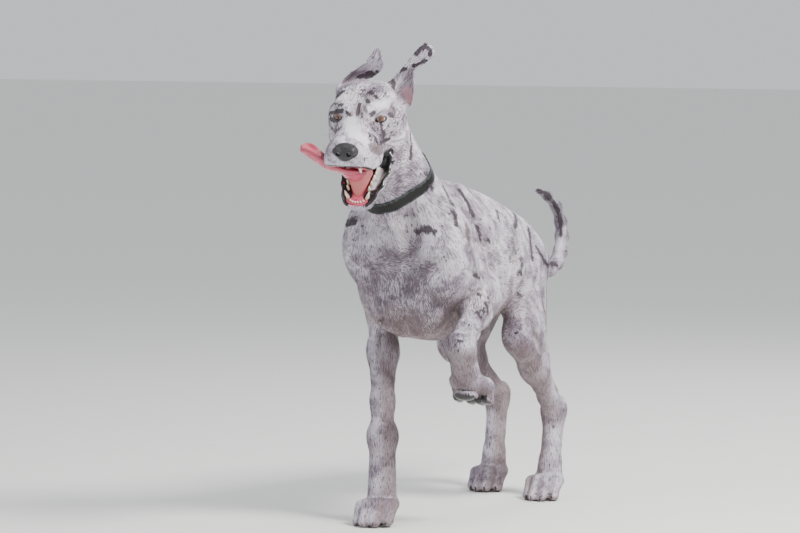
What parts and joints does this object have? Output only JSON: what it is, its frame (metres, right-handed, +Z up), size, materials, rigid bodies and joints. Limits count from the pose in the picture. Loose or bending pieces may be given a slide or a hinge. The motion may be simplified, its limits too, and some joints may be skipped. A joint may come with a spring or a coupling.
{
  "type": "great dane dog model",
  "caption": "Life-size still model of a merle great dane, head up and mouth open, one foreleg lifted, tail curled up, with a plain collar.",
  "frame": {"origin": "middle of the bounding box in X and Y, at the floor under the paws", "axes": "+Z up, the dog faces -Y, its left side is +X"},
  "size_m": [0.3462, 1.2186, 1.0595],
  "materials": {
    "coat": "short matte fur",
    "nose": "moist satin",
    "eye": "gloss",
    "tongue": "wet",
    "collar": "satin",
    "buckle": "satin metal",
    "teeth": "glossy enamel",
    "claw": "satin horn"
  },
  "bodies": {
    "root": {"head": "coat", "jaw": "coat", "ear_left": "coat", "ear_right": "coat", "neck": "coat", "torso": "coat", "foreleg_left": "coat", "foreleg_right": "coat", "hindleg_left": "coat", "hindleg_right": "coat", "tail_root": "coat", "tail_middle": "coat", "tail_tip": "coat", "nose": "nose", "eye_left": "eye", "eye_right": "eye", "tongue": "tongue", "collar_band": "collar", "collar_buckle": "buckle"}
  },
  "joints": []
}
